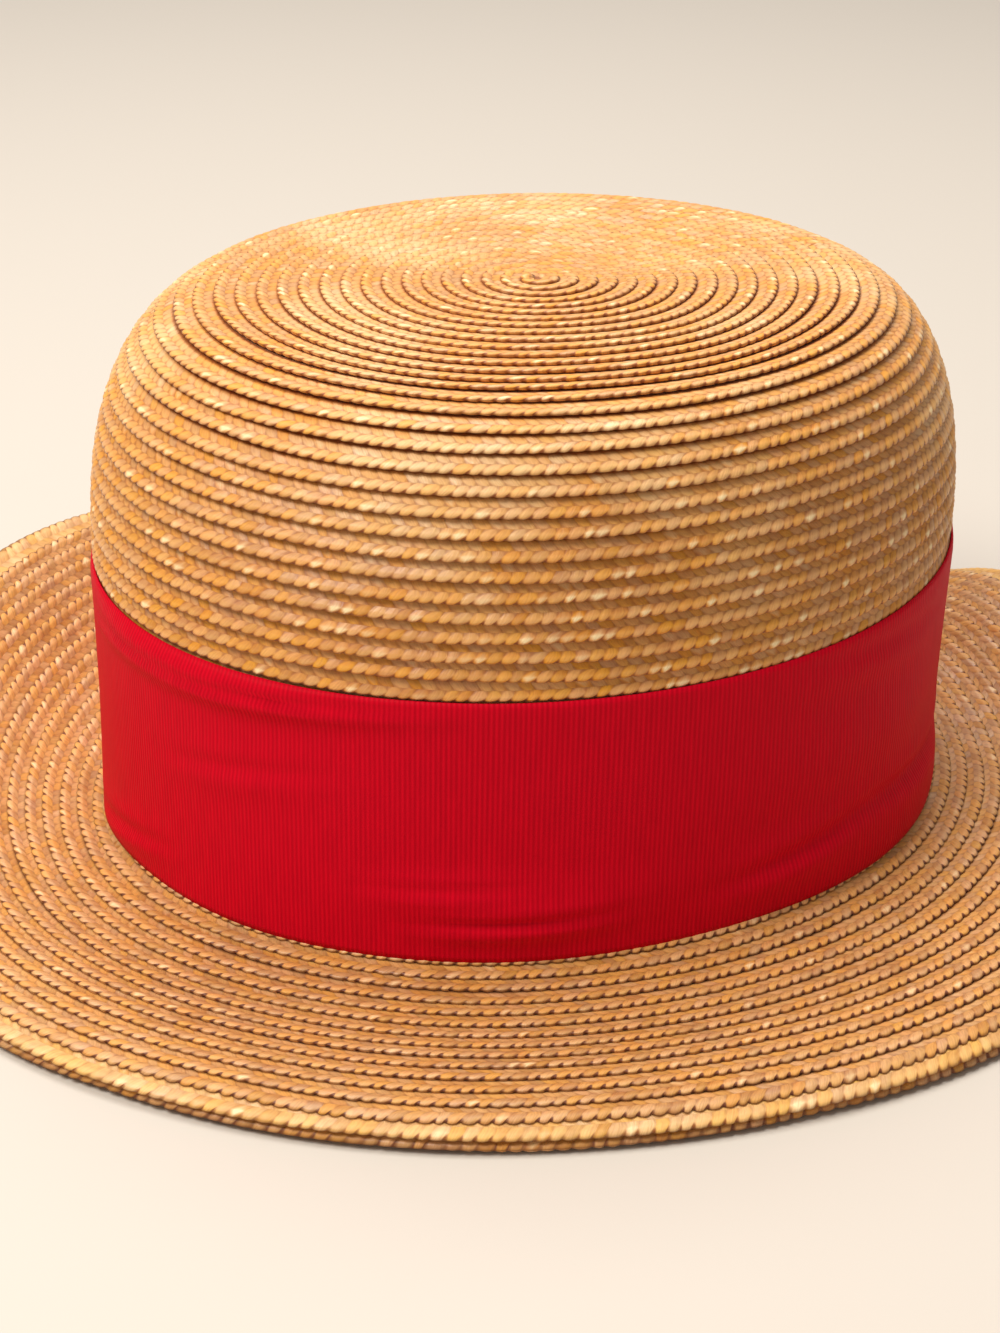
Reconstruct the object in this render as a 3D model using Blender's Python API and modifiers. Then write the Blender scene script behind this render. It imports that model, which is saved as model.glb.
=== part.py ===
"""Braided straw sun hat with a wide ribbon, lying on its brim.

Metres, +Z up. The hat's long axis runs along X and the table is z = 0.
The origin is the middle of the hat on the table.
"""
import math

import bmesh
import bpy
from mathutils import Vector

# Straw crown: outer size at its foot, and how far its tip stands over the brim
CROWN_LENGTH = 0.1987
CROWN_WIDTH = 0.1693
CROWN_RISE = 0.1188
SHOULDER_HEIGHT = 0.0577
SHOULDER_INSET = 0.0281
SHOULDER_FULLNESS = 2.47
TIP_DOME = 0.0009
SEAM_LAND = 0.0020
STRAW_WALL = 0.0022

# Straw brim: its height on the table at the crown, and its flat width
BRIM_SEAT = 0.0074
BRIM_WIDTH = 0.0530
EDGE_WIDTH = 0.0052
EDGE_HEIGHT = 0.0021
EDGE_ROUND = 0.0006
UNDER_EDGE_WIDTH = 0.0044
ROLL_POWER = 1.2
STEEPEST_RISE = 0.9

# Red ribbon round the foot of the crown
RIBBON_WIDTH = 0.0607
RIBBON_THICKNESS = 0.0010
RIBBON_LIFT = 0.0012
LAP_LENGTH = 0.012
LAP_ANGLE = 62.0

# Clearance kept between two pieces that touch on the real hat
GAP = 0.0003

# Faces round the hat
SIDES = 72
WALL_ROWS = 4
SHOULDER_ROWS = 8
TIP_ROWS = 4
SEAM_ROW = 4
RIBBON_ROWS = 8
LAP_COLUMNS = 3
BEND_STEPS = 20
WELD_DISTANCE = 1e-6
SHARP_ANGLE = 40.0

# Height of the brim's top over the table: share of BRIM_WIDTH, share of BRIM_SEAT
BRIM_PROFILE = [
    (0.00, 1.00),
    (0.12, 0.95),
    (0.26, 0.86),
    (0.40, 0.82),
    (0.54, 0.88),
    (0.68, 0.94),
    (0.80, 0.91),
    (0.90, 0.80),
    (1.00, 0.40),
]

# Where the brim rolls up off the table or is wider: angle and half spread in degrees
# from the long axis, rise of the rim and extra width as shares of BRIM_WIDTH
BRIM_ROLLS = [
    (129.0, 64.0, 0.630, 0.190),
    (0.5, 27.0, 0.400, 0.050),
    (-59.0, 57.0, 0.000, 0.130),
    (-168.0, 33.0, 0.000, 0.055),
]

# Soft dents in the tip: place as shares of half the length and half the width,
# spread as a share of the length, depth as a share of CROWN_RISE
TIP_DENTS = [
    (0.27, 0.18, 0.17, 0.026),
    (-0.10, -0.42, 0.20, -0.007),
]

# Folds in the ribbon: angle and half spread in degrees, height up the ribbon
# and half spread as shares of RIBBON_WIDTH, bulge in ribbon thicknesses
RIBBON_FOLDS = [
    (-158.0, 34.0, 0.93, 0.12, 1.1),
    (-112.0, 30.0, 0.22, 0.16, 1.0),
    (-62.0, 26.0, 0.62, 0.30, 0.9),
    (-38.0, 16.0, 0.10, 0.22, 1.6),
]

# Base colour and roughness of each material
LOOKS = {
    "crown_straw": ((0.58, 0.33, 0.10), 0.55),
    "brim_straw": ((0.56, 0.29, 0.10), 0.58),
    "edge_straw": ((0.63, 0.38, 0.15), 0.55),
    "ribbon_red": ((0.55, 0.006, 0.020), 0.50),
}

HALF_LENGTH = CROWN_LENGTH / 2
HALF_WIDTH = CROWN_WIDTH / 2
MEAN_RADIUS = math.sqrt(HALF_LENGTH * HALF_WIDTH)
OVALNESS = CROWN_LENGTH / CROWN_WIDTH
CROWN_FOOT = BRIM_SEAT + GAP
CROWN_TOP = BRIM_SEAT + CROWN_RISE
SHOULDER_START = CROWN_TOP - SHOULDER_HEIGHT
RIBBON_FOOT = BRIM_SEAT + RIBBON_LIFT


def clear_scene():
    for old in list(bpy.data.objects):
        bpy.data.objects.remove(old, do_unlink=True)


def make_collection(name):
    collection = bpy.data.collections.new(name)
    bpy.context.scene.collection.children.link(collection)
    return collection


def make_material(name):
    colour, roughness = LOOKS[name]
    material = bpy.data.materials.new(name)
    material.use_nodes = True
    shader = material.node_tree.nodes["Principled BSDF"]
    shader.inputs["Base Color"].default_value = (*colour, 1.0)
    shader.inputs["Roughness"].default_value = roughness
    shader.inputs["Metallic"].default_value = 0.0
    return material


def make_object(name, shape, material, collection):
    """Turn a bmesh into a smooth-shaded object, with the rim centred on the origin."""
    mesh = bpy.data.meshes.new(name)
    shape.to_mesh(mesh)
    shape.free()
    mesh.shade_smooth()
    mesh.set_sharp_from_angle(angle=math.radians(SHARP_ANGLE))
    mesh.materials.append(material)
    piece = bpy.data.objects.new(name, mesh)
    piece.location = -rim_centre()
    collection.objects.link(piece)
    return piece


def add_wall(piece, thickness):
    """Give an open surface a wall on the side away from its normals."""
    wall = piece.modifiers.new("wall", "SOLIDIFY")
    wall.thickness = thickness
    wall.offset = -1.0
    wall.use_even_offset = True
    wall.use_rim = True


def bump_at(distance):
    """A smooth hump: 1 at distance 0, 0 from distance 1 outwards."""
    if abs(distance) >= 1.0:
        return 0.0
    return math.cos(distance * math.pi / 2) ** 2


def angle_between(angle, other):
    """Signed difference of two angles in degrees, from -180 to 180."""
    return (angle - other + 180.0) % 360.0 - 180.0


def oval_point(radius, turn):
    """Round to oval: full ovalness at the crown's wall, none at its centre."""
    share = radius / MEAN_RADIUS
    stretch = math.sqrt(1.0 + (OVALNESS - 1.0) * share)
    return radius * stretch * math.cos(turn), radius / stretch * math.sin(turn)


def oval_normal(turn):
    """Direction straight out from the crown's foot, seen from above."""
    out = Vector((HALF_WIDTH * math.cos(turn), HALF_LENGTH * math.sin(turn), 0.0))
    return out.normalized()


def spin_profile(points, closed=False):
    """Spin (radius, height) points once round the Z axis into a round surface."""
    shape = bmesh.new()
    verts = [shape.verts.new((radius, 0.0, height)) for radius, height in points]
    pairs = list(zip(verts, verts[1:]))
    if closed:
        pairs.append((verts[-1], verts[0]))
    edges = [shape.edges.new(pair) for pair in pairs]
    bmesh.ops.spin(
        shape,
        geom=verts + edges,
        cent=(0, 0, 0),
        axis=(0, 0, 1),
        angle=math.tau,
        steps=SIDES,
        use_merge=True,
    )
    bmesh.ops.remove_doubles(shape, verts=shape.verts, dist=WELD_DISTANCE)
    bmesh.ops.recalc_face_normals(shape, faces=shape.faces)
    return shape


def crown_profiles():
    """Outer profiles of the crown's tip and of its side, meeting half way over the shoulder."""
    points = []
    flat_radius = MEAN_RADIUS - SHOULDER_INSET
    for row in range(TIP_ROWS):
        share = row / TIP_ROWS
        height = CROWN_TOP + TIP_DOME * (1.0 - share ** 2)
        points.append((flat_radius * share, height))
    for row in range(SHOULDER_ROWS + 1):
        turn = math.pi / 2 * (1.0 - row / SHOULDER_ROWS)
        inset = 1.0 - math.cos(turn) ** (2 / SHOULDER_FULLNESS)
        lift = math.sin(turn) ** (2 / SHOULDER_FULLNESS)
        points.append((MEAN_RADIUS - SHOULDER_INSET * inset, SHOULDER_START + SHOULDER_HEIGHT * lift))
    for row in range(1, WALL_ROWS + 1):
        share = row / WALL_ROWS
        points.append((MEAN_RADIUS, SHOULDER_START + (CROWN_FOOT - SHOULDER_START) * share))
    seam = TIP_ROWS + SEAM_ROW
    meet = Vector(points[seam])
    down = (Vector(points[seam + 1]) - Vector(points[seam - 1])).normalized()
    tip = points[:seam] + [tuple(meet - down * SEAM_LAND), tuple(meet)]
    side = [tuple(meet + down * GAP), tuple(meet + down * (GAP + SEAM_LAND))] + points[seam + 1:]
    return tip, side


def tip_dent(x, y):
    """How far the tip sinks at a point, from the table of dents."""
    depth = 0.0
    for along, across, spread, share in TIP_DENTS:
        away = math.hypot(x - along * HALF_LENGTH, y - across * HALF_WIDTH)
        depth += share * CROWN_RISE * bump_at(away / (spread * CROWN_LENGTH))
    return depth


def make_crown_piece(name, profile, material, collection):
    shape = spin_profile(profile)
    for vert in shape.verts:
        radius = math.hypot(vert.co.x, vert.co.y)
        turn = math.atan2(vert.co.y, vert.co.x)
        vert.co.x, vert.co.y = oval_point(radius, turn)
        over_wall = max(0.0, vert.co.z - SHOULDER_START) / SHOULDER_HEIGHT
        vert.co.z -= tip_dent(vert.co.x, vert.co.y) * over_wall ** 2
    if sum(face.normal.dot(face.calc_center_median()) for face in shape.faces) < 0:
        bmesh.ops.reverse_faces(shape, faces=shape.faces)
    piece = make_object(name, shape, material, collection)
    add_wall(piece, STRAW_WALL)


def brim_roll(turn):
    """Rise of the rim and width of the brim at an angle round the hat."""
    rise = 0.0
    width = BRIM_WIDTH
    for angle, spread, lift_share, extra_share in BRIM_ROLLS:
        hump = bump_at(angle_between(math.degrees(turn), angle) / spread)
        rise += lift_share * BRIM_WIDTH * hump
        width += extra_share * BRIM_WIDTH * hump
    return rise, width


def brim_point(turn, out, height):
    """A point of the flat brim, `out` from the crown, bent up with its roll."""
    rise, width = brim_roll(turn)
    reach = out * width / BRIM_WIDTH
    plan = min(reach, 0.0)
    lift = 0.0
    slope = 0.0
    step = max(reach, 0.0) / BEND_STEPS
    for index in range(BEND_STEPS):
        share = (index + 0.5) * step / width
        climb = ROLL_POWER * rise / width * share ** (ROLL_POWER - 1.0)
        slope = math.asin(min(STEEPEST_RISE, climb))
        plan += step * math.cos(slope)
        lift += step * math.sin(slope)
    out_now = oval_normal(turn)
    foot = Vector((HALF_LENGTH * math.cos(turn), HALF_WIDTH * math.sin(turn), 0.0))
    tilted_up = Vector((0, 0, 1)) * math.cos(slope) - out_now * math.sin(slope)
    return foot + out_now * plan + Vector((0, 0, lift)) + tilted_up * height


def rim_centre():
    """Middle of the rim's outline, which the rolls shift from the crown's middle."""
    rim = [brim_point(math.tau * side / SIDES, BRIM_WIDTH, EDGE_ROUND) for side in range(SIDES)]
    along = [point.x for point in rim]
    across = [point.y for point in rim]
    return Vector(((min(along) + max(along)) / 2, (min(across) + max(across)) / 2, 0.0))


def bend_to_brim(shape):
    """Move a round shape whose radius is MEAN_RADIUS + out onto the rolled brim."""
    for vert in shape.verts:
        out = math.hypot(vert.co.x, vert.co.y) - MEAN_RADIUS
        vert.co = brim_point(math.atan2(vert.co.y, vert.co.x), out, vert.co.z)


def brim_top(share):
    """Height of the brim's top at a share of its width, from the profile table."""
    for (start, low), (end, high) in zip(BRIM_PROFILE, BRIM_PROFILE[1:]):
        if share <= end:
            return BRIM_SEAT * (low + (high - low) * (share - start) / (end - start))
    return BRIM_SEAT * BRIM_PROFILE[-1][1]


def make_brim(material, collection):
    brim_end = BRIM_WIDTH - EDGE_WIDTH - GAP
    points = [(MEAN_RADIUS - STRAW_WALL, BRIM_SEAT)]
    for share, height in BRIM_PROFILE:
        if share * BRIM_WIDTH < brim_end:
            points.append((MEAN_RADIUS + share * BRIM_WIDTH, BRIM_SEAT * height))
    points.append((MEAN_RADIUS + brim_end, brim_top(brim_end / BRIM_WIDTH)))
    shape = spin_profile(points)
    bend_to_brim(shape)
    if sum(face.normal.z for face in shape.faces) < 0:
        bmesh.ops.reverse_faces(shape, faces=shape.faces)
    brim = make_object("brim", shape, material, collection)
    add_wall(brim, STRAW_WALL)


def make_brim_edge(material, collection):
    """The rim's double plait: a wide course on top and one tucked below the brim."""
    rim = MEAN_RADIUS + BRIM_WIDTH
    inner = rim - EDGE_WIDTH
    tuck = inner - UNDER_EDGE_WIDTH
    inner_top = brim_top(1.0 - EDGE_WIDTH / BRIM_WIDTH)
    shelf_height = inner_top - STRAW_WALL - 2 * GAP
    section = [
        (tuck, 0.0),
        (rim - EDGE_ROUND, 0.0),
        (rim, EDGE_ROUND),
        (rim - EDGE_ROUND, EDGE_HEIGHT),
        (inner, inner_top),
        (inner, shelf_height),
        (tuck, shelf_height),
    ]
    shape = spin_profile(section, closed=True)
    bend_to_brim(shape)
    bmesh.ops.recalc_face_normals(shape, faces=shape.faces)
    make_object("brim_edge", shape, material, collection)


def ribbon_bulge(degrees, share):
    """How far the ribbon stands off the crown, from the table of folds."""
    bulge = 0.0
    for angle, spread, height, half, thicknesses in RIBBON_FOLDS:
        round_it = bump_at(angle_between(degrees, angle) / spread)
        bulge += thicknesses * RIBBON_THICKNESS * round_it * bump_at((share - height) / half)
    return bulge


def make_hat_band(material, collection):
    """One strip wrapped round the crown, its end lapped over its own start."""
    lap_turn = LAP_LENGTH / MEAN_RADIUS
    columns = SIDES + LAP_COLUMNS
    shape = bmesh.new()
    bmesh.ops.create_grid(shape, x_segments=columns, y_segments=RIBBON_ROWS, size=0.5)
    for vert in shape.verts:
        column = round((vert.co.x + 0.5) * columns)
        share = vert.co.y + 0.5
        if column <= SIDES:
            turned = math.tau * column / SIDES
        else:
            turned = math.tau + lap_turn * (column - SIDES) / LAP_COLUMNS
        step_up = min(1.0, max(0.0, (turned - math.tau + lap_turn) / lap_turn))
        turn = math.radians(LAP_ANGLE) + turned
        off = GAP + RIBBON_THICKNESS + step_up * (GAP + RIBBON_THICKNESS)
        off += ribbon_bulge(math.degrees(turn), share)
        foot = Vector((HALF_LENGTH * math.cos(turn), HALF_WIDTH * math.sin(turn), 0.0))
        height = RIBBON_FOOT + share * RIBBON_WIDTH
        vert.co = foot + oval_normal(turn) * off + Vector((0, 0, height))
    bmesh.ops.recalc_face_normals(shape, faces=shape.faces)
    if sum(face.normal.dot(face.calc_center_median()) for face in shape.faces) < 0:
        bmesh.ops.reverse_faces(shape, faces=shape.faces)
    band = make_object("hat_band", shape, material, collection)
    add_wall(band, RIBBON_THICKNESS)


def build():
    clear_scene()
    hat = make_collection("straw_hat")
    tip, side = crown_profiles()
    crown_straw = make_material("crown_straw")
    make_crown_piece("crown_tip", tip, crown_straw, hat)
    make_crown_piece("crown_side", side, crown_straw, hat)
    make_brim(make_material("brim_straw"), hat)
    make_brim_edge(make_material("edge_straw"), hat)
    make_hat_band(make_material("ribbon_red"), hat)


build()
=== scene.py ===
import math

import bmesh
import bpy
import numpy as np
from mathutils import Euler, Matrix, Vector


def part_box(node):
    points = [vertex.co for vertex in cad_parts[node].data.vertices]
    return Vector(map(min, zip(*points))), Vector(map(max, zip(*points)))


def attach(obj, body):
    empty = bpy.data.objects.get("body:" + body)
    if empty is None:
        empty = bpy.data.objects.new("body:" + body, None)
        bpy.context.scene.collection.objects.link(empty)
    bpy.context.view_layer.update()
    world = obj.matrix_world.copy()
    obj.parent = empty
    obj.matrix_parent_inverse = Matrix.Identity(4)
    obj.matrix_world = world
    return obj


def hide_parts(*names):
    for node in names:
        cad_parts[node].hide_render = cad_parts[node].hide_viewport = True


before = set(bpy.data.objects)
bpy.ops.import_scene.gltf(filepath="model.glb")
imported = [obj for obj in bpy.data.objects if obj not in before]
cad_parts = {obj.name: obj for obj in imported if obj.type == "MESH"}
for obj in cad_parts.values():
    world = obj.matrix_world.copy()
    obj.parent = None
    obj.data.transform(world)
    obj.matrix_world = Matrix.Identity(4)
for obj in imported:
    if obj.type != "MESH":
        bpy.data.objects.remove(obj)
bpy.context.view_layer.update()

MM = 0.001

# The hat's main sizes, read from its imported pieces
CROWN_LOW, CROWN_HIGH = (Vector(corner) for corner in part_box("crown_side"))
BAND_LOW, BAND_HIGH = (Vector(corner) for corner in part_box("hat_band"))
CENTRE_X = (CROWN_LOW.x + CROWN_HIGH.x) / 2
CENTRE_Y = (CROWN_LOW.y + CROWN_HIGH.y) / 2
HALF_LENGTH = (CROWN_HIGH.x - CROWN_LOW.x) / 2
HALF_WIDTH = (CROWN_HIGH.y - CROWN_LOW.y) / 2
MEAN_RADIUS = math.sqrt(HALF_LENGTH * HALF_WIDTH)
OVALNESS = HALF_LENGTH / HALF_WIDTH
CROWN_FOOT = CROWN_LOW.z
BRIM_SEAT = CROWN_FOOT - 0.3 * MM
BAND_FOOT = BAND_LOW.z
BAND_WIDTH = BAND_HIGH.z - BAND_LOW.z

# The crown's profile: an upright wall, a soft shoulder and a nearly flat tip
CROWN_RISE = 118.8 * MM
CROWN_TOP = BRIM_SEAT + CROWN_RISE
SHOULDER_HEIGHT = 57.7 * MM
SHOULDER_INSET = 28.1 * MM
SHOULDER_FULLNESS = 2.47
SHOULDER_START = CROWN_TOP - SHOULDER_HEIGHT
TIP_DOME = 0.9 * MM
TIP_SAMPLES = 30
SHOULDER_SAMPLES = 160

# Dents in the tip: place as shares of the half length and half width, spread as a share
# of the whole length, depth as a share of the crown's rise
TIP_DENTS = ((0.27, 0.18, 0.17, 0.026), (-0.10, -0.42, 0.20, -0.007))

# The brim: its width where it lies flat, and its height over the floor as shares of the
# height at the crown, at shares of that width
BRIM_WIDTH = 53.0 * MM
EDGE_WIDTH = 5.2 * MM
BRIM_PROFILE_SHARE = (0.00, 0.03, 0.07, 0.12, 0.26, 0.40, 0.54, 0.68, 0.80, 0.90, 1.00)
BRIM_PROFILE_HEIGHT = (1.18, 1.11, 1.01, 0.95, 0.86, 0.82, 0.88, 0.94, 0.91, 0.80, 0.40)

# Where the brim rolls up: angle and spread in degrees, then the rise of its rim and its
# extra width as shares of the flat width
ROLL_POWER = 1.2
ROLL_STEPS = 20
STEEPEST_SINE = 0.9
BRIM_ROLLS = (
    (129.0, 64.0, 0.630, 0.190),
    (0.5, 27.0, 0.400, 0.050),
    (-59.0, 57.0, 0.000, 0.130),
    (-168.0, 33.0, 0.000, 0.055),
)

# Soft folds in the ribbon: angle and spread in degrees, height and half height as shares
# of its width, and bulge in millimetres
RIBBON_FOLDS = (
    (-158.0, 34.0, 0.93, 0.12, 0.7),
    (-112.0, 30.0, 0.22, 0.16, 0.8),
    (-62.0, 34.0, 0.55, 0.28, 1.2),
    (-52.0, 34.0, 0.06, 0.20, 2.4),
)

# Creases pressed into the ribbon: angles from and to in degrees, heights from and to as
# shares of its width, then half width and strength in millimetres. The higher roll
# beside a crease's groove stands out by about 0.7 of its strength
RIBBON_CREASES = (
    (-190.0, -154.0, 0.885, 0.930, 1.2, 1.6),
    (-170.0, -120.0, 0.885, 0.975, 1.2, 2.0),
    (-166.0, -134.0, 0.560, 0.700, 2.2, 0.9),
    (-192.0, -162.0, 0.040, 0.190, 1.8, 1.8),
    (-134.0, -110.0, 0.275, 0.300, 1.4, 1.2),
    (-128.0, -98.0, 0.145, 0.175, 1.5, 2.3),
    (-90.0, -60.0, 0.170, 0.280, 2.6, 2.2),
    (-68.0, -30.0, 0.275, 0.250, 2.8, 2.6),
    (-80.0, -42.0, 0.960, 0.850, 2.6, 1.3),
    (20.0, 58.0, 0.300, 0.360, 2.4, 1.2),
    (96.0, 140.0, 0.720, 0.640, 2.2, 1.2),
)

# The straw plait. A place across it runs from -1 at its tucked edge to 1 at its lip, and
# its course is measured from PLAIT_MIDDLE. Courses overlap by what the pitch leaves over
COURSE = 4.2 * MM
PLAIT_WIDTH = 5.7 * MM
PLAIT_WALL = 0.9 * MM
PLAIT_MIDDLE = 0.47
BRIM_COURSES = 13
BRIM_COURSE = (BRIM_WIDTH - EDGE_WIDTH) / BRIM_COURSES
SWEEP_STEPS_PER_TURN = 720
LEAST_ALONG = 0.05 * MM

# A course strays from its line by about WANDER, anew at every few columns of its mesh
WANDER = 0.14 * MM
WANDER_COLUMNS = 37
WANDER_PAST_END = 60

# The stitches: length, width of a row of them on the -1 to 1 across, slant of a row as a
# share of a stitch, and how unevenly long and high they are
STITCH = 2.8 * MM
HIDDEN_STITCH = 5.6 * MM
UNDER_STITCH = 3.1 * MM
CROWN_ROW = 0.80
BRIM_ROW = 0.84
CHEVRON = 0.75
JITTER = 0.16
STITCH_HEIGHTS = (0.65, 1.15)
STEPS_PER_STITCH = 4

# How a stitch swells: fullness and gain of its arch, and the level that counts as flat
PUFF_FULLNESS = 0.8
PUFF_GAIN = 1.5
PUFF_LEVEL = 0.55

# The lip's scallops, which fade in over LIP_SPAN from LIP_START across
LIP_START = 0.6
LIP_SPAN = 0.3
SCALLOP_LEVEL = 0.7

# A plait tilts about this place across. Less of the wall sunk than LEAST_SUNK is a
# hollow of its top, which `roll` can flatten
LEAN_PIVOT = 0.45
LEAST_SUNK = 0.2

# The last of the brim's plait and of the edge plaits is tucked under over this length
TUCK_LENGTH = 45 * MM
EDGE_TURNS = 1.03

# The ribbon: wall, grip at its foot, rib pitch and the lap of its ends
RIBBON_WALL = 0.4 * MM
SNUG = 0.1 * MM
RIB = 1.0 * MM
LAP_LENGTH = 12 * MM
LAP_ANGLE = 62.0
LAP_STEP = 1.0 * MM
RIBBON_COLUMNS = 560
RIBBON_ROWS = 44

# How far it stands off the crown: on average round it, over the courses, at the least,
# and the more at its foot. Slow waves follow as turns round, turns up and millimetres
RIBBON_GAP = 1.0 * MM
RIBBON_OFF = 1.10 * MM
LEAST_OFF = 0.95 * MM
FOOT_FLARE = 0.3 * MM
RIBBON_WAVES = ((5, 4, 0.16), (9, -5, 0.12))

# Its top edge hugs the lips of the courses: share of its width that does, and how far
# off it lies in millimetres at places across the course behind it
HUG_SHARE = 0.05
HUG_ACROSS = (-0.5, -0.2, 0.05, 0.3, 0.5, 1.0)
HUG_OFF = (0.95, 0.50, 0.42, 0.60, 0.90, 0.95)

# A crease: how far past its middle it runs as a share of its length, and the place and
# spread of the roll beside its groove, both in half widths
CREASE_REACH = 0.62
CREASE_ROLL = 0.4
CREASE_SPREAD = 2.4

# Steps along and round by which a surface's normal is found, and the weld of a seam
NORMAL_STEP = 0.2 * MM
NORMAL_TURN = 0.002
WELD = 0.002 * MM
WEAVE_MAP = "weave"

# The camera of the photograph, from the floor under the crown's middle, angles in degrees
CAMERA_OFFSET = Vector((-220.9 * MM, -446.6 * MM, 293.2 * MM))
CAMERA_PITCH = 27.74
CAMERA_AZIMUTH = -25.62
CAMERA_ROLL = 1.04
CAMERA_FOCAL_PIXELS = 2382.9
FRAME_HEIGHT_PIXELS = 1333
SENSOR = 36.0

FLOOR_SIZE = 4.0
LIGHT_TARGET = Vector((0.0, 0.0, 0.05))

RANDOM = np.random.default_rng(7)


def hump(distance):
    """A smooth hump: 1 at distance 0, 0 from distance 1 outwards."""
    return np.where(np.abs(distance) < 1.0, np.cos(np.clip(distance, -1, 1) * math.pi / 2) ** 2, 0.0)


def angle_between(angle, other):
    """The turn from one angle to another in degrees, from -180 to 180."""
    return (angle - other + 180.0) % 360.0 - 180.0


def crown_section():
    """Radius and height along the crown's profile, against length from the tip's middle."""
    flat_radius = MEAN_RADIUS - SHOULDER_INSET
    share = np.linspace(0.0, 1.0, TIP_SAMPLES, endpoint=False)
    radius = [flat_radius * share]
    height = [CROWN_TOP + TIP_DOME * (1.0 - share ** 2)]
    turn = np.linspace(math.pi / 2, 0.0, SHOULDER_SAMPLES)
    radius.append(MEAN_RADIUS - SHOULDER_INSET * (1.0 - np.cos(turn) ** (2 / SHOULDER_FULLNESS)))
    height.append(SHOULDER_START + SHOULDER_HEIGHT * np.sin(turn) ** (2 / SHOULDER_FULLNESS))
    radius.append(np.array([MEAN_RADIUS, MEAN_RADIUS]))
    height.append(np.array([(SHOULDER_START + CROWN_FOOT) / 2, CROWN_FOOT]))
    radius = np.concatenate(radius)
    height = np.concatenate(height)
    length = np.concatenate([[0.0], np.cumsum(np.hypot(np.diff(radius), np.diff(height)))])
    return length, radius, height


SECTION_LENGTH, SECTION_RADIUS, SECTION_HEIGHT = crown_section()
CROWN_LENGTH = float(SECTION_LENGTH[-1])
CROWN_COURSES = CROWN_LENGTH / COURSE
BAND_TOP_LENGTH = float(np.interp(-(BAND_FOOT + BAND_WIDTH), -SECTION_HEIGHT, SECTION_LENGTH))
BAND_TOP_COURSE = BAND_TOP_LENGTH / COURSE

# The lengths that the plaits are made in, in courses from the tip's middle and from the
# crown's foot: each begins a little before the end of the last one
SPIRAL_START = 0.15
TIP_END = 16.0
SIDE_END = 24.0
LOW_END = BAND_TOP_COURSE + 0.8
HIDDEN_START = BAND_TOP_COURSE + 0.7
BRIM_INNER_END = 7.0
BRIM_OUTER_END = BRIM_COURSES + 1.0
JOIN = 0.005

# Where the brim's plait and the two edge plaits lie, out from the crown along the straw
BRIM_START = -2.0 * MM
EDGE_START = BRIM_WIDTH - 1.9 * MM
UNDER_START = BRIM_WIDTH - 1.2 * MM

# How far a course's lip stands over its tucked edge: course, then millimetres
CROWN_LEAN = (
    (0.0, 0.42),
    (10.0, 0.48),
    (16.0, 0.68),
    (21.0, 1.02),
    (25.0, 1.42),
    (BAND_TOP_COURSE - 1.0, 1.35),
    (BAND_TOP_COURSE, 0.90),
    (60.0, 0.90),
)
BRIM_LEAN = ((0.0, 0.62), (20.0, 0.60))
UNDER_LEAN = ((0.0, 0.3), (1.0, 0.3))


def crown_point(turn, along):
    """Points on the crown's outside, `along` the profile from the tip's middle."""
    radius = np.interp(along, SECTION_LENGTH, SECTION_RADIUS)
    height = np.interp(along, SECTION_LENGTH, SECTION_HEIGHT)
    stretch = np.sqrt(1.0 + (OVALNESS - 1.0) * radius / MEAN_RADIUS)
    x = radius * stretch * np.cos(turn)
    y = radius / stretch * np.sin(turn)
    over_wall = np.clip((height - SHOULDER_START) / SHOULDER_HEIGHT, 0, 1)
    for dent_x, dent_y, spread, share in TIP_DENTS:
        away = np.hypot(x - dent_x * HALF_LENGTH, y - dent_y * HALF_WIDTH)
        height = height - share * CROWN_RISE * hump(away / (spread * 2 * HALF_LENGTH)) * over_wall ** 2
    return np.stack([x + CENTRE_X, y + CENTRE_Y, height], -1)


def brim_roll(turn):
    """Rise of the rim and whole width of the brim, round the hat."""
    rise = np.zeros_like(turn)
    width = np.full_like(turn, BRIM_WIDTH)
    for angle, spread, lift, extra in BRIM_ROLLS:
        near = hump(angle_between(np.degrees(turn), angle) / spread)
        rise = rise + lift * BRIM_WIDTH * near
        width = width + extra * BRIM_WIDTH * near
    return rise, width


def brim_point(turn, out):
    """Points on the brim's top, `out` from the crown along the straw."""
    rise, width = brim_roll(turn)
    reach = out * width / BRIM_WIDTH
    plan = np.minimum(reach, 0.0)
    lift = np.zeros_like(plan)
    slope = np.zeros_like(plan)
    step = np.maximum(reach, 0.0) / ROLL_STEPS
    for index in range(ROLL_STEPS):
        share = (index + 0.5) * step / width
        sine = ROLL_POWER * rise / width * share ** (ROLL_POWER - 1.0)
        slope = np.arcsin(np.minimum(STEEPEST_SINE, sine))
        plan = plan + step * np.cos(slope)
        lift = lift + step * np.sin(slope)
    out_x = HALF_WIDTH * np.cos(turn)
    out_y = HALF_LENGTH * np.sin(turn)
    size = np.hypot(out_x, out_y)
    out_x, out_y = out_x / size, out_y / size
    height = BRIM_SEAT * np.interp(out / BRIM_WIDTH, BRIM_PROFILE_SHARE, BRIM_PROFILE_HEIGHT)
    flat = plan - height * np.sin(slope)
    x = HALF_LENGTH * np.cos(turn) + out_x * flat
    y = HALF_WIDTH * np.sin(turn) + out_y * flat
    return np.stack([x + CENTRE_X, y + CENTRE_Y, lift + height * np.cos(slope)], -1)


def surface_normal(surface, turn, along):
    """Outward normals of the crown or the brim."""
    by_turn = surface(turn + NORMAL_TURN, along) - surface(turn - NORMAL_TURN, along)
    back = np.maximum(along - NORMAL_STEP, 0.0)
    by_along = surface(turn, along + NORMAL_STEP) - surface(turn, back)
    normal = np.cross(by_along, by_turn)
    size = np.linalg.norm(normal, axis=-1, keepdims=True)
    return normal / np.maximum(size, 1e-12)


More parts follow.
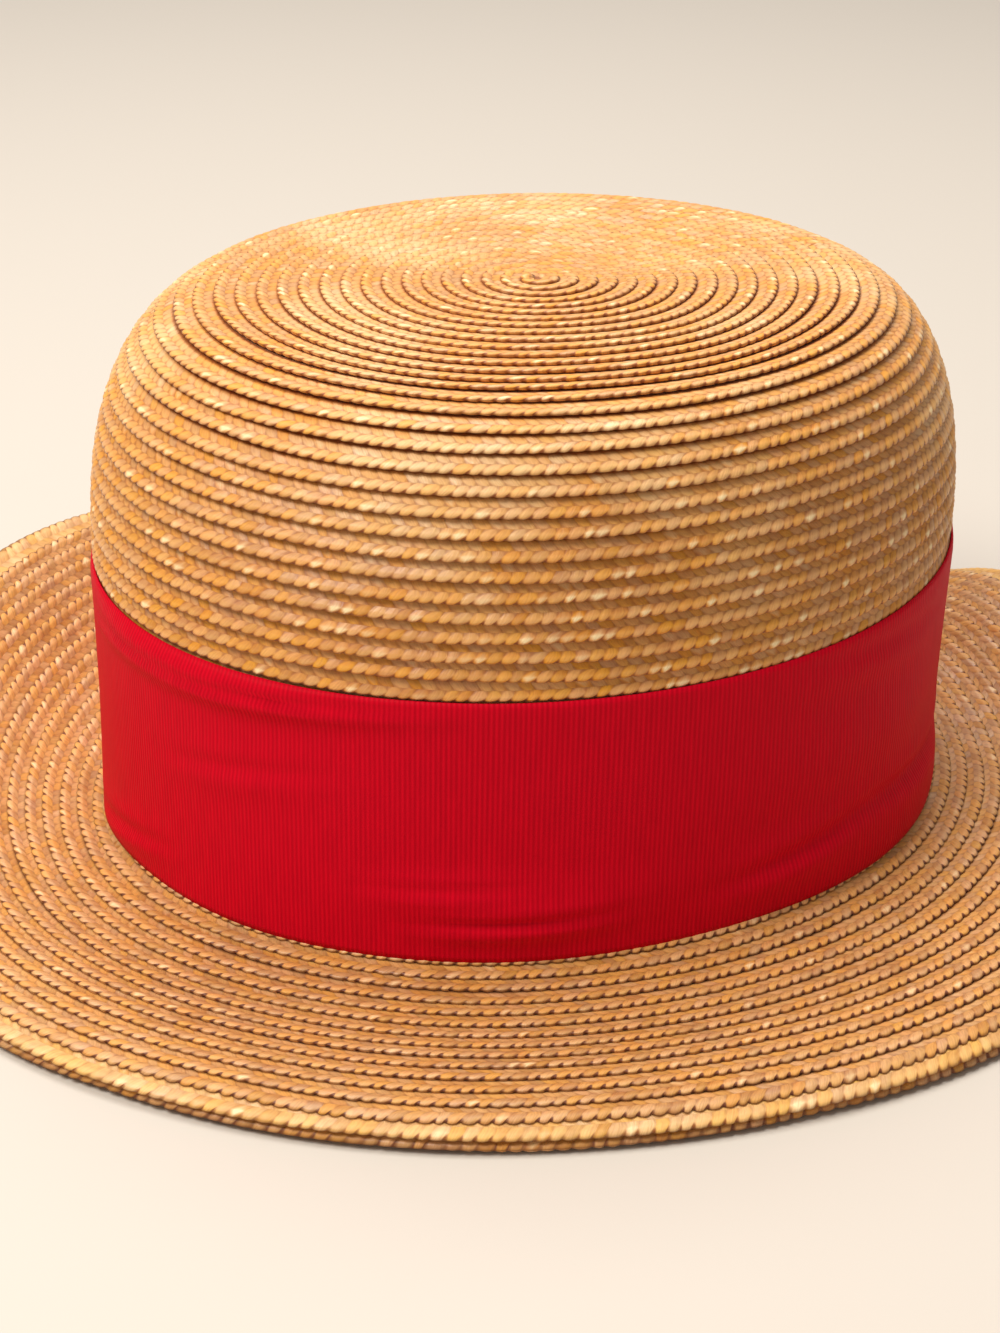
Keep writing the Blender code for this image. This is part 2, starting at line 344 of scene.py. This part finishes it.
def finish_piece(name, shape, material, node):
    """Make the object, give it its material, hang it under the root's body and hide the part it takes
    the place of.
    """
    mesh = bpy.data.meshes.new(name)
    shape.to_mesh(mesh)
    shape.free()
    mesh.shade_smooth()
    mesh.materials.append(material)
    piece = bpy.data.objects.new(name, mesh)
    bpy.context.scene.collection.objects.link(piece)
    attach(piece, "root")
    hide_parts(node)
    return piece


def grid_shape(columns, rows, place, uv_of):
    """A grid of quads whose corners are placed by column and row, not welded yet."""
    shape = bmesh.new()
    shape.loops.layers.uv.new(WEAVE_MAP)
    bmesh.ops.create_grid(shape, x_segments=columns, y_segments=rows, size=0.5)
    mesh = bpy.data.meshes.new("grid")
    shape.to_mesh(mesh)
    shape.free()
    corners = np.empty(len(mesh.vertices) * 3)
    mesh.vertices.foreach_get("co", corners)
    corners = corners.reshape(-1, 3)
    column = np.rint((corners[:, 0] + 0.5) * columns).astype(int)
    row = np.rint((corners[:, 1] + 0.5) * rows).astype(int)
    mesh.vertices.foreach_set("co", place(column, row).astype(np.float32).ravel())
    corner_of = np.empty(len(mesh.loops), dtype=int)
    mesh.loops.foreach_get("vertex_index", corner_of)
    uv = uv_of(column[corner_of], row[corner_of])
    mesh.uv_layers[0].uv.foreach_set("vector", uv.astype(np.float32).ravel())
    shape = bmesh.new()
    shape.from_mesh(mesh)
    bpy.data.meshes.remove(mesh)
    return shape


def close_tube(shape):
    """Weld a rolled-up grid along its seam and cap its two ends."""
    bmesh.ops.remove_doubles(shape, verts=shape.verts, dist=WELD)
    ends = [edge for edge in shape.edges if edge.is_boundary]
    if ends:
        bmesh.ops.holes_fill(shape, edges=ends, sides=0)
    bmesh.ops.recalc_face_normals(shape, faces=shape.faces)


def plait_rows(row):
    """Points round a plait whose rows of stitches are `row` wide, on its -1 to 1 across.

    They run from its tucked edge over its top to its lip and back below. Each has its place
    across, the share of the wall that it lies below the top, and how much its stitches show.
    """
    inner = [(-1.00, 0.10, 0.0), (1 - 2 * row, 0.12, 0.1), (1 - 1.5 * row, 0.02, 0.9)]
    outer = [(1 - row, 0.08, 0.1), (1 - 0.65 * row, -0.12, 1.0), (1 - 0.28 * row, -0.06, 1.0)]
    edge = [(0.98, 0.36, 0.7), (0.86, 1.00, 0.3), (-0.10, 1.00, 0.4), (-1.00, 0.90, 0.0)]
    return inner + outer + edge


def make_plait(
    name, surface, course, first, last, material, node,
    start_along=0.0, width=PLAIT_WIDTH, lean=BRIM_LEAN, settle=0.0, tuck=0.0,
    stitch=STITCH, row_width=CROWN_ROW, puff=0.11 * MM, scallop=0.24 * MM, roll=1.0,
):
    """Sweep one long plait round the hat, from course `first` to course `last`.

    Courses lie `course` apart on the surface, from `start_along` on. The plait is raised by
    `settle` and sinks by `tuck` at its end. `puff` and `scallop` are how far its stitches
    swell and how far its lip waves, and `roll` is how much of its top's hollows is kept.
    """
    turns = np.arange(first, last, 1 / SWEEP_STEPS_PER_TURN)
    path = surface(turns * math.tau, start_along + np.maximum(turns, 0.0) * course)
    steps = np.linalg.norm(np.diff(path, axis=0), axis=-1)
    length = np.concatenate([[0.0], np.cumsum(steps)])
    columns = int(length[-1] / stitch * STEPS_PER_STITCH)
    across, sunk, shows = (np.array(column) for column in zip(*plait_rows(row_width)))
    sunk = np.where(sunk < LEAST_SUNK, sunk * roll, sunk)
    rows = len(across)
    knots = np.arange(0, columns + WANDER_PAST_END, WANDER_COLUMNS)
    wander = np.interp(np.arange(columns + 1), knots, RANDOM.normal(0.0, WANDER, len(knots)))
    joints = columns // STEPS_PER_STITCH + 3
    drift = RANDOM.uniform(-JITTER * stitch, JITTER * stitch, (2, joints))
    stitch_high = RANDOM.uniform(*STITCH_HEIGHTS, (joints, 2))
    lean_course, lean_height = zip(*lean)

    def place(column, row):
        index = row % rows
        side = across[index]
        odd = np.floor((1.0 - side) / row_width + 1e-6) % 2 == 1
        zigzag = np.abs((side - 1.0 + 2 * row_width) % (2 * row_width) - row_width)
        chevron = CHEVRON * stitch * zigzag
        joint = column / STEPS_PER_STITCH
        slip = np.where(
            odd,
            np.interp(joint, np.arange(joints) - 0.5, drift[0]),
            np.interp(joint, np.arange(joints), drift[1]),
        )
        at = length[-1] * column / columns - chevron + CHEVRON * stitch + slip
        at = np.clip(at, 0, length[-1])
        turn_count = np.interp(at, length, turns)
        along = start_along + turn_count * course + (side - PLAIT_MIDDLE) * width / 2 + wander[column]
        outer = np.clip((side - LIP_START) / LIP_SPAN, 0, 1)
        wave = np.sin((column % STEPS_PER_STITCH) / STEPS_PER_STITCH * math.pi) - SCALLOP_LEVEL
        along = along + scallop * outer * wave * stitch_high[column // STEPS_PER_STITCH, 1]
        along = np.maximum(along, LEAST_ALONG)
        turn = turn_count * math.tau
        half = np.where(odd, STEPS_PER_STITCH // 2, 0)
        phase = ((column + half) % STEPS_PER_STITCH) / STEPS_PER_STITCH
        which = (column + half) // STEPS_PER_STITCH
        high = stitch_high[which, odd.astype(int)]
        arch = np.sin(phase * math.pi) ** PUFF_FULLNESS * high * PUFF_GAIN - PUFF_LEVEL
        puffed = puff * shows[index] * arch
        rise = MM * np.interp(turn_count, lean_course, lean_height)
        tucked = tuck * np.clip(1 - (length[-1] - at) / TUCK_LENGTH, 0, 1)
        lift = settle + rise * (side - LEAN_PIVOT) + puffed - sunk[index] * PLAIT_WALL - tucked
        return surface(turn, along) + surface_normal(surface, turn, along) * lift[:, None]

    def uv_of(column, row):
        return np.stack([column / STEPS_PER_STITCH, across[row % rows]], -1)

    shape = grid_shape(columns, rows, place, uv_of)
    close_tube(shape)
    finish_piece(name, shape, material, node)


class Graph:
    """Short names for the shader nodes that the materials are made of."""

    def __init__(self, tree):
        self.nodes = tree.nodes
        self.links = tree.links

    def put(self, socket, value):
        """Set a socket to a colour or a number, or join another socket to it."""
        if isinstance(value, tuple):
            socket.default_value = (*value, 1.0)
        elif isinstance(value, (int, float)):
            socket.default_value = value
        else:
            self.links.new(value, socket)

    def math(self, operation, first, second=None):
        node = self.nodes.new("ShaderNodeMath")
        node.operation = operation
        self.put(node.inputs[0], first)
        if second is not None:
            self.put(node.inputs[1], second)
        return node.outputs[0]

    def add(self, first, second):
        return self.math("ADD", first, second)

    def times(self, first, second):
        return self.math("MULTIPLY", first, second)

    def less(self, value):
        """One less the value."""
        return self.math("SUBTRACT", 1.0, value)

    def distance(self, value, middle):
        return self.math("ABSOLUTE", self.math("SUBTRACT", value, middle))

    def ramp(self, value, start, end, first, last):
        """A soft step: `first` where the value is at `start`, `last` where it is at `end`."""
        node = self.nodes.new("ShaderNodeMapRange")
        node.interpolation_type = "SMOOTHSTEP"
        names = ("Value", "From Min", "From Max", "To Min", "To Max")
        for socket, entry in zip(names, (value, start, end, first, last)):
            self.put(node.inputs[socket], entry)
        return node.outputs["Result"]

    def mix(self, share, first, second):
        node = self.nodes.new("ShaderNodeMix")
        node.data_type = "RGBA"
        sockets = [socket for socket in node.inputs if socket.enabled]
        for socket, value in zip(sockets, (share, first, second)):
            self.put(socket, value)
        return [socket for socket in node.outputs if socket.enabled][0]

    def point(self, x, y):
        node = self.nodes.new("ShaderNodeCombineXYZ")
        self.put(node.inputs[0], x)
        self.put(node.inputs[1], y)
        return node.outputs[0]

    def split_map(self, name):
        """The two coordinates of a UV map."""
        uv = self.nodes.new("ShaderNodeUVMap")
        uv.uv_map = name
        split = self.nodes.new("ShaderNodeSeparateXYZ")
        self.links.new(uv.outputs[0], split.inputs[0])
        return split.outputs[0], split.outputs[1]

    def noise(self, where, scale=1.0, detail=3.0):
        node = self.nodes.new("ShaderNodeTexNoise")
        node.inputs["Scale"].default_value = scale
        node.inputs["Detail"].default_value = detail
        self.links.new(where, node.inputs["Vector"])
        return node.outputs["Fac"]

    def chances(self, where):
        """Three random values, each the same all over one cell."""
        node = self.nodes.new("ShaderNodeTexWhiteNoise")
        self.links.new(where, node.inputs["Vector"])
        split = self.nodes.new("ShaderNodeSeparateColor")
        self.links.new(node.outputs["Color"], split.inputs[0])
        return split.outputs[0], split.outputs[1], split.outputs[2]

    def bump(self, height, distance, strength):
        node = self.nodes.new("ShaderNodeBump")
        node.inputs["Distance"].default_value = distance
        node.inputs["Strength"].default_value = strength
        self.links.new(height, node.inputs["Height"])
        return node.outputs["Normal"]


def new_material(name):
    """A material, its graph and its Principled shader."""
    material = bpy.data.materials.new(name)
    material.use_nodes = True
    return material, Graph(material.node_tree), material.node_tree.nodes["Principled BSDF"]


def group_sockets(group, inputs, outputs):
    """Give a node group its inputs, with their values, and its outputs."""
    for name, kind, value in inputs:
        socket = group.interface.new_socket(name, in_out="INPUT", socket_type=kind)
        socket.default_value = value
    for name, kind in outputs:
        group.interface.new_socket(name, in_out="OUTPUT", socket_type=kind)


def plait_group():
    """Straw strands of a plait, from its own UV: stitch count along, -1 to 1 across."""
    group = bpy.data.node_groups.new("straw_plait", "ShaderNodeTree")
    # Dark is the straw's darker tone and also the colour of its painted shade; Glint is the colour of
    # its painted glints and sheen
    group_sockets(
        group,
        [("Straw", "NodeSocketColor", (0.6, 0.36, 0.12, 1)),
         ("Dark", "NodeSocketColor", (0.2, 0.07, 0.01, 1)),
         ("Glint", "NodeSocketColor", (0.9, 0.75, 0.45, 1)),
         ("Glint Share", "NodeSocketFloat", 0.2),
         ("Relief", "NodeSocketFloat", 0.5),
         ("Notch", "NodeSocketFloat", 0.5),
         ("Shade End", "NodeSocketFloat", 0.0),
         ("Row", "NodeSocketFloat", CROWN_ROW)],
        [("Color", "NodeSocketColor"), ("Height", "NodeSocketFloat"), ("Roughness", "NodeSocketFloat")],
    )
    graph = Graph(group)
    given = group.nodes.new("NodeGroupInput").outputs
    result = group.nodes.new("NodeGroupOutput").inputs
    along, across = graph.split_map(WEAVE_MAP)

    # The stitch that a point is in, its three chances and the way from its middle
    row_count = graph.math("DIVIDE", graph.less(across), given["Row"])
    row = graph.math("FLOOR", row_count)
    shifted = graph.add(along, graph.times(graph.math("MODULO", row, 2.0), 0.5))
    one, two, three = graph.chances(graph.point(graph.math("FLOOR", shifted), row))
    from_middle = graph.times(graph.distance(graph.math("FRACT", shifted), 0.5), 2.0)
    from_row = graph.times(graph.distance(graph.math("FRACT", row_count), 0.5), 2.0)
    apart = graph.add(from_middle, from_row)
    blob = graph.ramp(apart, 1.12, 1.60, 1.0, 0.0)
    groove = graph.ramp(from_middle, 0.70, 1.0, 0.0, 1.0)

    # Fibres along the straw, longer streaks, and patches over the whole hat
    fibre = graph.noise(graph.point(graph.times(along, 9.0), graph.times(across, 1.3)))
    streak = graph.noise(graph.point(graph.times(along, 0.8), graph.times(across, 1.6)), detail=2.0)
    place = group.nodes.new("ShaderNodeTexCoord").outputs["Object"]
    patches = graph.noise(place, scale=32.0)

    # How near the lip, and how far out from under the next course and from below: the last two place
    # the painted shade under the lips
    lip = graph.ramp(across, 0.40, 0.66, 0.35, 1.0)
    tucked = graph.ramp(across, -0.60, given["Shade End"], 0.0, 1.0)
    below = graph.ramp(across, 0.90, 1.0, 1.0, 0.2)

    # The straw's own colour, then painted shade away from the lip
    blotches = graph.add(graph.times(patches, 0.26), graph.times(streak, 0.40))
    variety = graph.add(graph.times(one, 0.34), blotches)
    darker = graph.mix(0.40, given["Straw"], given["Dark"])
    colour = graph.mix(graph.ramp(variety, 0.24, 0.60, 0.0, 1.0), darker, given["Straw"])
    hue = group.nodes.new("ShaderNodeHueSaturation")
    turned = graph.add(graph.times(two, 0.007), graph.times(streak, 0.019))
    graph.put(hue.inputs["Hue"], graph.add(0.490, turned))
    graph.put(hue.inputs["Saturation"], graph.add(0.90, graph.times(three, 0.18)))
    graph.put(hue.inputs["Color"], colour)
    # Painted shade: a little darker away from the lip, where the neighbouring course's lip shades it
    colour = graph.mix(graph.times(graph.less(lip), 0.16), hue.outputs[0], given["Dark"])

    # Painted sheen in patches, stronger towards the tip, and painted glints on a few stitches
    height = group.nodes.new("ShaderNodeSeparateXYZ")
    graph.links.new(place, height.inputs[0])
    sheen_towards_tip = graph.ramp(height.outputs[2], SHOULDER_START, CROWN_TOP, 0.12, 1.0)
    painted_sheen = graph.times(sheen_towards_tip, graph.ramp(patches, 0.46, 0.64, 0.12, 0.50))
    colour = graph.mix(graph.times(painted_sheen, graph.less(graph.times(one, 0.6))), colour, given["Glint"])
    # Painted glints: a faint painted highlight at every stitch's middle near the lip, strong on a few
    # stitches
    picked = graph.ramp(two, 0.0, given["Glint Share"], 0.95, 0.0)
    middle = graph.times(lip, graph.ramp(apart, 0.35, 1.30, 1.0, 0.0))
    colour = graph.mix(graph.times(graph.add(picked, 0.1), middle), colour, given["Glint"])

    # Dark fibres in the straw, then painted shade: in the cracks between stitches, in the notches
    # between them at the lip, and under the lips
    colour = graph.mix(graph.ramp(fibre, 0.30, 0.62, 0.22, 0.0), colour, given["Dark"])
    # Painted shade in the cracks between stitches; Relief also sets the bump's height further down
    crack_shade = graph.add(graph.less(blob), graph.times(groove, 0.45))
    colour = graph.mix(graph.times(crack_shade, given["Relief"]), colour, given["Dark"])
    # Painted shade in the notches between the lip's stitches, deeper at some than at others
    deep = graph.times(given["Notch"], graph.add(graph.times(one, 1.1), 0.3))
    slanted = graph.add(graph.times(from_middle, 0.55), graph.times(across, 0.45))
    gap = graph.ramp(slanted, 0.70, 0.88, 0.0, 1.0)
    notch = graph.times(graph.ramp(across, 0.56, 0.84, 0.0, 1.0), graph.times(gap, deep))
    colour = graph.mix(notch, colour, given["Dark"])
    # Painted shade under the next course's lip and along the outer edge of this one's lip
    painted_lip_shade = graph.times(graph.less(graph.times(tucked, below)), 0.92)
    colour = graph.mix(painted_lip_shade, colour, given["Dark"])

    graph.links.new(colour, result["Color"])
    dome = graph.less(graph.times(graph.math("POWER", graph.times(apart, 0.5), 2.0), given["Relief"]))
    graph.links.new(graph.add(graph.times(dome, 1.2), graph.times(fibre, 0.35)), result["Height"])
    graph.links.new(graph.add(0.40, graph.times(three, 0.24)), result["Roughness"])
    return group


def straw_material(name, group, straw, dark, glint, **amounts):
    """A finish of the plaits: its three colours, and the group's other inputs by name."""
    material, graph, shader = new_material(name)
    plait = graph.nodes.new("ShaderNodeGroup")
    plait.node_tree = group
    plait.inputs["Straw"].default_value = (*straw, 1.0)
    plait.inputs["Dark"].default_value = (*dark, 1.0)
    plait.inputs["Glint"].default_value = (*glint, 1.0)
    for amount, value in amounts.items():
        plait.inputs[amount.replace("_", " ").title()].default_value = value
    graph.links.new(plait.outputs["Color"], shader.inputs["Base Color"])
    graph.links.new(plait.outputs["Roughness"], shader.inputs["Roughness"])
    graph.links.new(graph.bump(plait.outputs["Height"], 0.35 * MM, 0.8), shader.inputs["Normal"])
    shader.inputs["Specular IOR Level"].default_value = 0.6
    shader.inputs["Sheen Weight"].default_value = 0.12
    shader.inputs["Sheen Roughness"].default_value = 0.4
    shader.inputs["Sheen Tint"].default_value = (1.0, 0.92, 0.78, 1.0)
    return material


def ribbon_material():
    """Red grosgrain: fine upright ribs and a soft uneven weave, from a UV in millimetres."""
    material, graph, shader = new_material("ribbon_red")
    along, up = graph.split_map(WEAVE_MAP)
    wave = graph.math("SINE", graph.times(along, math.tau / (RIB / MM)))
    rib = graph.add(graph.times(wave, 0.5), 0.5)
    streak = graph.noise(graph.point(graph.times(along, 1.2), graph.times(up, 0.10)))
    weave = graph.noise(graph.point(graph.times(along, 2.4), graph.times(up, 5.0)))
    colour = graph.mix(rib, (0.50, 0.0006, 0.0115), (0.65, 0.0014, 0.0160))
    colour = graph.mix(graph.ramp(streak, 0.3, 0.7, 0.16, 0.0), colour, (0.22, 0.0, 0.006))
    graph.links.new(colour, shader.inputs["Base Color"])
    height = graph.add(rib, graph.times(weave, 0.35))
    graph.links.new(graph.bump(height, 0.10 * MM, 0.6), shader.inputs["Normal"])
    shader.inputs["Roughness"].default_value = 0.55
    shader.inputs["Specular IOR Level"].default_value = 0.05
    return material


def ribbon_bulge(degrees, share):
    """How far the ribbon's soft folds stand out."""
    bulge = np.zeros_like(share)
    for angle, spread, height, half, out in RIBBON_FOLDS:
        near = hump(angle_between(degrees, angle) / spread)
        bulge = bulge + out * MM * near * hump((share - height) / half)
    return bulge


def ribbon_crease(degrees, share):
    """How far the ribbon stands out beside its pressed creases, each a groove between two rolls."""
    out = np.zeros_like(share)
    for start, end, low, high, half, strength in RIBBON_CREASES:
        middle = (start + end) / 2
        round_arc = np.radians(angle_between(degrees, middle)) * MEAN_RADIUS
        rise = (share - (low + high) / 2) * BAND_WIDTH
        arc = math.radians(end - start) * MEAN_RADIUS
        climb = (high - low) * BAND_WIDTH
        size = math.hypot(arc, climb)
        forward = (round_arc * arc + rise * climb) / size
        aside = (rise * arc - round_arc * climb) / size / (half * MM)
        window = hump(forward / (size * CREASE_REACH))
        roll = np.exp(-((aside + CREASE_ROLL) / CREASE_SPREAD) ** 2)
        out = out + strength * MM * window * (roll - np.exp(-aside ** 2))
    return out


def snug_top(turn):
    """How far off the crown the ribbon's top edge lies: it dips between the lips of the courses."""
    course = BAND_TOP_COURSE - turn / math.tau
    pitch = 2 * COURSE / PLAIT_WIDTH
    side = PLAIT_MIDDLE + pitch * (course % 1.0)
    side = np.where(side > 1.0, side - pitch, side)
    return MM * np.interp(side, HUG_ACROSS, HUG_OFF)


def make_ribbon(material):
    """One strip wrapped round the crown's foot, lapped over its own start at the back."""
    lap_turn = LAP_LENGTH / MEAN_RADIUS
    whole = math.tau + lap_turn
    band_length = math.pi * (HALF_LENGTH + HALF_WIDTH + 2 * RIBBON_GAP) + LAP_LENGTH

    def place(column, row):
        turned = whole * column / RIBBON_COLUMNS
        share = row / RIBBON_ROWS
        step_up = np.clip((turned - math.tau + lap_turn) / lap_turn, 0.0, 1.0)
        turn = math.radians(LAP_ANGLE) + turned
        off = RIBBON_OFF + step_up * LAP_STEP + ribbon_bulge(np.degrees(turn), share)
        off = off + ribbon_crease(np.degrees(turn), share) + FOOT_FLARE * (1.0 - share) ** 2
        for round_hat, up, high in RIBBON_WAVES:
            off = off + high * MM * np.sin(round_hat * turn + up * share)
        off = np.maximum(off, LEAST_OFF)
        hug = np.clip((share - 1 + HUG_SHARE) / HUG_SHARE, 0.0, 1.0) ** 2 * (1.0 - step_up)
        off = off * (1.0 - hug) + snug_top(turn) * hug
        out_x = HALF_WIDTH * np.cos(turn)
        out_y = HALF_LENGTH * np.sin(turn)
        size = np.hypot(out_x, out_y)
        x = HALF_LENGTH * np.cos(turn) + out_x / size * off
        y = HALF_WIDTH * np.sin(turn) + out_y / size * off
        height = BAND_FOOT - SNUG + share * (BAND_WIDTH + SNUG)
        return np.stack([x + CENTRE_X, y + CENTRE_Y, height], -1)

    def uv_of(column, row):
        along = band_length / MM * column / RIBBON_COLUMNS
        return np.stack([along, row / RIBBON_ROWS * BAND_WIDTH / MM], -1)

    shape = grid_shape(RIBBON_COLUMNS, RIBBON_ROWS, place, uv_of)
    piece = finish_piece("ribbon", shape, material, "hat_band")
    wall = piece.modifiers.new("wall", "SOLIDIFY")
    wall.thickness = RIBBON_WALL
    wall.offset = -1.0


def make_studio():
    """A pale floor, a warm sky and two soft lights."""
    floor_shape = bmesh.new()
    bmesh.ops.create_grid(floor_shape, x_segments=1, y_segments=1, size=FLOOR_SIZE)
    mesh = bpy.data.meshes.new("floor")
    floor_shape.to_mesh(mesh)
    floor_shape.free()
    floor = bpy.data.objects.new("floor", mesh)
    bpy.context.scene.collection.objects.link(floor)
    material, _, shader = new_material("pale_floor")
    shader.inputs["Base Color"].default_value = (0.60, 0.55, 0.49, 1.0)
    shader.inputs["Roughness"].default_value = 0.7
    mesh.materials.append(material)

    world = bpy.data.worlds.new("studio")
    world.use_nodes = True
    world.node_tree.nodes["Background"].inputs["Color"].default_value = (1.0, 0.95, 0.88, 1.0)
    world.node_tree.nodes["Background"].inputs["Strength"].default_value = 0.40
    bpy.context.scene.world = world

    def area_light(name, place, size, power, colour):
        light = bpy.data.lights.new(name, "AREA")
        light.size = size
        light.energy = power
        light.color = colour
        lamp = bpy.data.objects.new(name, light)
        lamp.location = place
        lamp.rotation_euler = (LIGHT_TARGET - Vector(place)).to_track_quat("-Z", "Y").to_euler()
        bpy.context.scene.collection.objects.link(lamp)

    area_light("key", (-0.75, -0.15, 1.15), 0.6, 16.0, (1.0, 0.95, 0.88))
    area_light("top", (0.15, 0.45, 1.35), 0.9, 15.0, (1.0, 0.96, 0.92))


def make_camera():
    """The photograph's camera, as fitted to it."""
    bpy.context.scene.view_settings.view_transform = "Standard"
    camera = bpy.data.cameras.new("camera")
    camera.sensor_width = SENSOR
    camera.lens = CAMERA_FOCAL_PIXELS / FRAME_HEIGHT_PIXELS * SENSOR
    eye = bpy.data.objects.new("camera", camera)
    eye.location = CAMERA_OFFSET + Vector((CENTRE_X, CENTRE_Y, 0.0))
    aim = Euler((math.radians(90 - CAMERA_PITCH), 0.0, math.radians(CAMERA_AZIMUTH)))
    roll = Matrix.Rotation(math.radians(CAMERA_ROLL), 3, "Z")
    eye.rotation_euler = (aim.to_matrix() @ roll).to_euler()
    bpy.context.scene.collection.objects.link(eye)
    bpy.context.scene.camera = eye


make_camera()
make_studio()
straw_group = plait_group()
# In each straw, dark also colours the painted shade, and glint the painted glints and sheen
crown_straw = straw_material(
    "crown_straw", straw_group,
    straw=(0.77, 0.318, 0.053), dark=(0.27, 0.060, 0.003), glint=(0.96, 0.74, 0.40),
    glint_share=0.17, relief=0.38, notch=0.90, shade_end=-0.26,
)
brim_straw = straw_material(
    "brim_straw", straw_group,
    straw=(0.74, 0.345, 0.098), dark=(0.15, 0.032, 0.004), glint=(0.92, 0.66, 0.34),
    glint_share=0.08, relief=0.26, notch=1.3, shade_end=-0.18, row=BRIM_ROW,
)
edge_straw = straw_material(
    "edge_straw", straw_group,
    straw=(0.82, 0.45, 0.14), dark=(0.30, 0.085, 0.010), glint=(0.97, 0.76, 0.42),
    glint_share=0.14, relief=0.22, notch=0.8, shade_end=-0.30,
)
# The straw under the rim: the brim's straw made darker and redder, as painted shade under the rim
under_straw = straw_material(
    "under_straw", straw_group,
    straw=(0.60, 0.26, 0.064), dark=(0.18, 0.045, 0.006), glint=(0.80, 0.50, 0.22),
    glint_share=0.10, relief=0.20, notch=0.8, shade_end=-0.30, row=BRIM_ROW,
)

# The crown is one spiral from the tip's middle down to its foot, in four lengths
for name, first, last, node in (
    ("crown_tip_plait", SPIRAL_START, TIP_END, "crown_tip"),
    ("crown_side_plait", TIP_END - JOIN, SIDE_END, "crown_side"),
    ("crown_low_plait", SIDE_END - JOIN, LOW_END, "crown_side"),
):
    make_plait(
        name, crown_point, COURSE, first, last, crown_straw, node,
        lean=CROWN_LEAN,
    )
make_plait(
    "crown_band_plait", crown_point, COURSE, HIDDEN_START, CROWN_COURSES, crown_straw,
    "crown_side",
    lean=CROWN_LEAN, settle=-0.4 * MM, stitch=HIDDEN_STITCH, puff=0.1 * MM,
)

# The brim is one more, in two lengths, which runs out under the edge
for name, first, last, tuck in (
    ("brim_inner_plait", 0.0, BRIM_INNER_END, 0.0),
    ("brim_outer_plait", BRIM_INNER_END - JOIN, BRIM_OUTER_END, 1.0 * MM),
):
    make_plait(
        name, brim_point, BRIM_COURSE, first, last, brim_straw, "brim",
        start_along=BRIM_START, tuck=tuck,
        row_width=BRIM_ROW, puff=0.08 * MM, scallop=0.46 * MM, roll=0.7,
    )

# The rim: a wide plait that goes once round, and a second one sewn under it
make_plait(
    "edge_plait", brim_point, 0.0, 0.0, EDGE_TURNS, edge_straw, "brim_edge",
    start_along=EDGE_START, width=6.8 * MM, tuck=0.6 * MM,
    puff=0.10 * MM, scallop=0.28 * MM,
)
make_plait(
    "under_edge_plait", brim_point, 0.0, 0.0, EDGE_TURNS, under_straw, "brim_edge",
    start_along=UNDER_START, width=5.6 * MM, lean=UNDER_LEAN, settle=-1.35 * MM,
    stitch=UNDER_STITCH, row_width=BRIM_ROW, puff=0.05 * MM, scallop=0.16 * MM, roll=0.5,
)
make_ribbon(ribbon_material())
